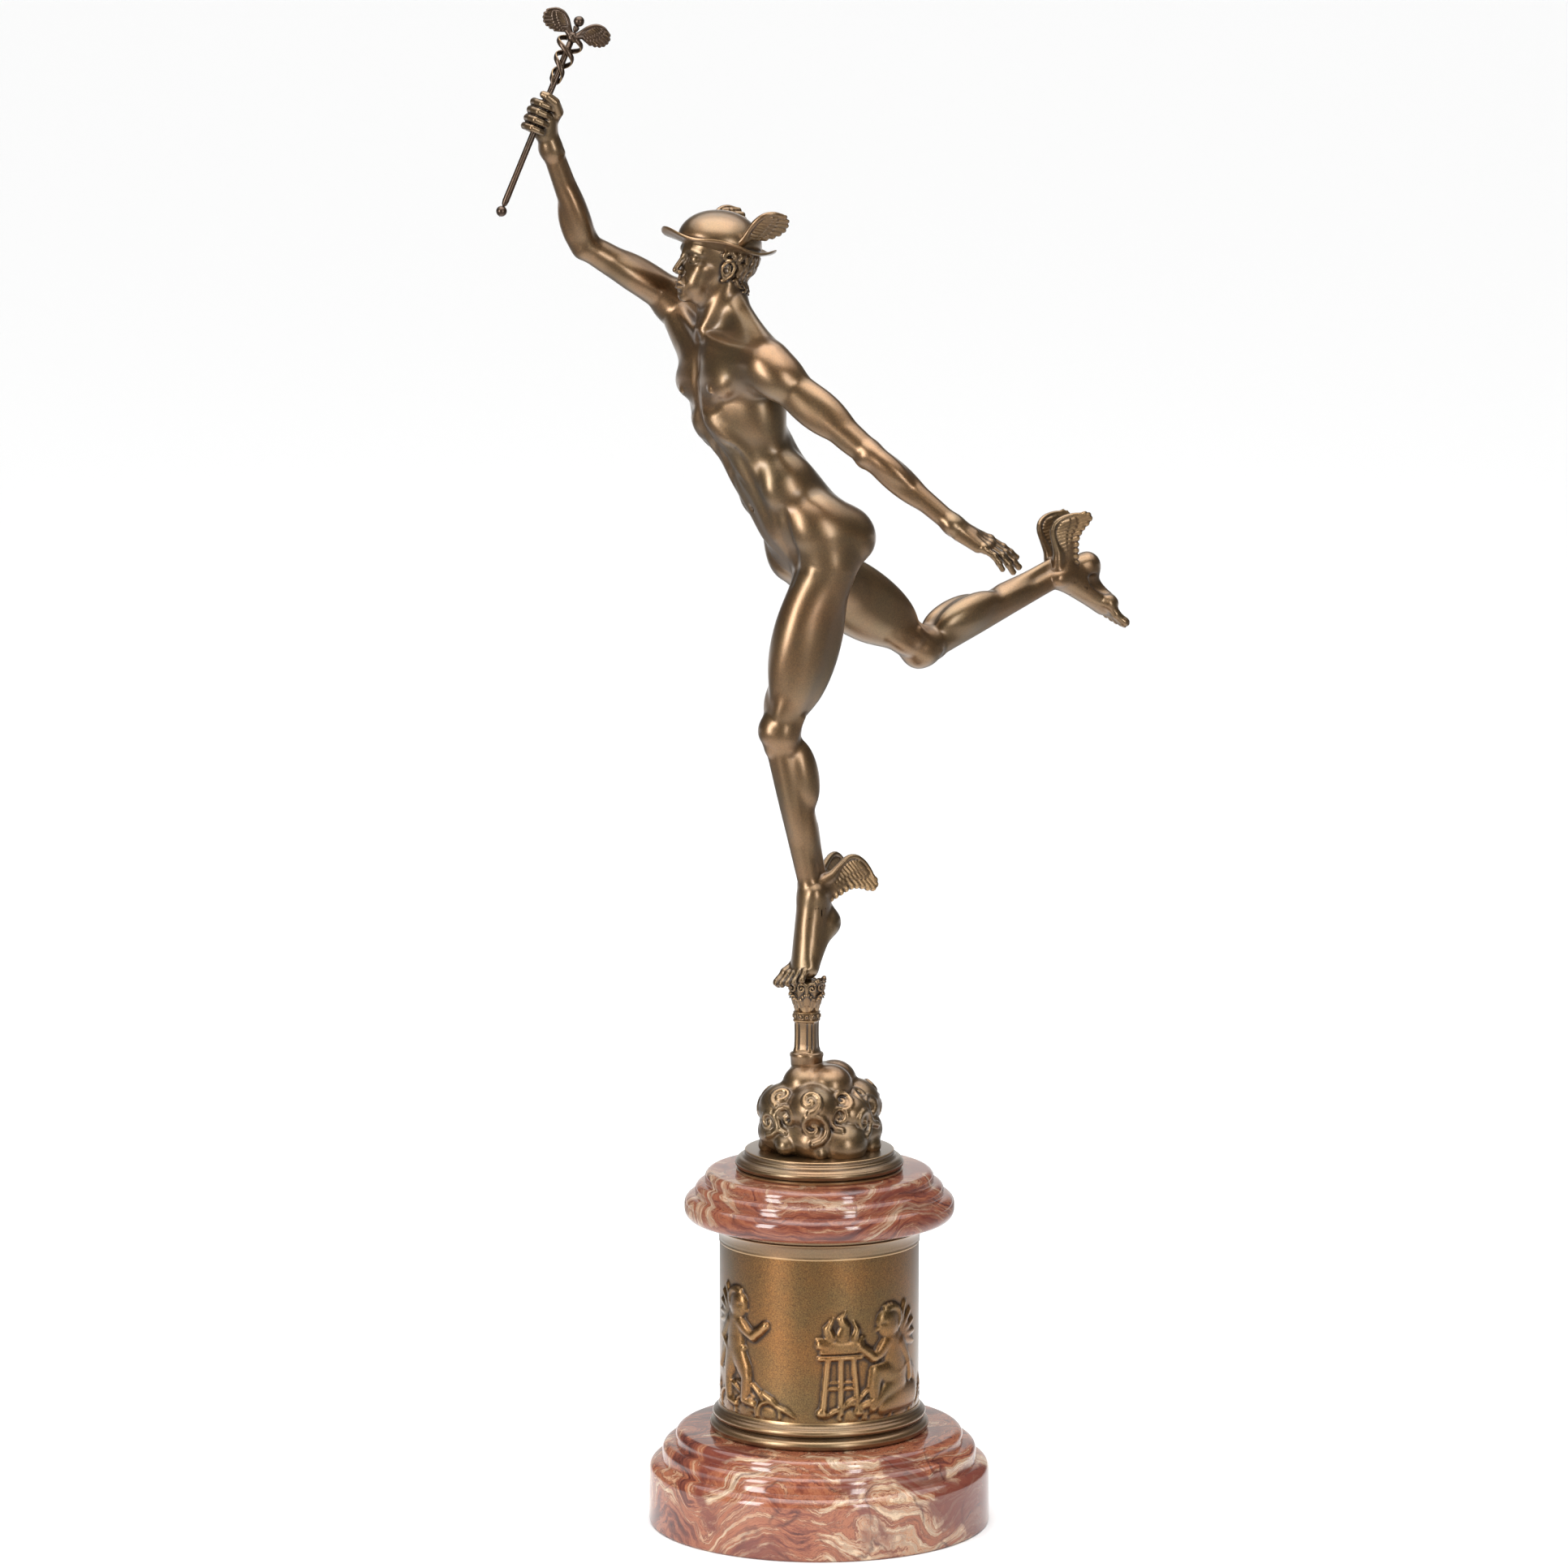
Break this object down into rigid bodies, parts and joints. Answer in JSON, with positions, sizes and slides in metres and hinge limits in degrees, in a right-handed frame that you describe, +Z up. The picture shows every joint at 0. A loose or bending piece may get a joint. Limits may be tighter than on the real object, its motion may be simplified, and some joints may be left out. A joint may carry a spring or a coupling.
{
  "type": "bronze figure of a flying winged messenger god on a marble and bronze pedestal",
  "caption": "Bronze statuette of a winged messenger god running on tiptoe on a leafy column and a cloud, on a stepped round marble pedestal with a relief drum.",
  "frame": {"origin": "centre of the round underside of the marble base", "axes": "+Z up, the figure flies towards -X, and his left side and the front of the pedestal face -Y"},
  "size_m": [0.3209, 0.2027, 0.768],
  "materials": {
    "bronze": "brown patina, satin",
    "dark_bronze": "dark brown patina, rubbed edges",
    "marble": "red veined marble, polished"
  },
  "bodies": {
    "root": {"marble_base": "marble", "relief_drum": "bronze", "marble_ring": "marble", "bronze_foot": "bronze", "cloud_mound": "bronze", "leafy_column": "bronze", "figure": "bronze", "caduceus": "dark_bronze"}
  },
  "joints": []
}
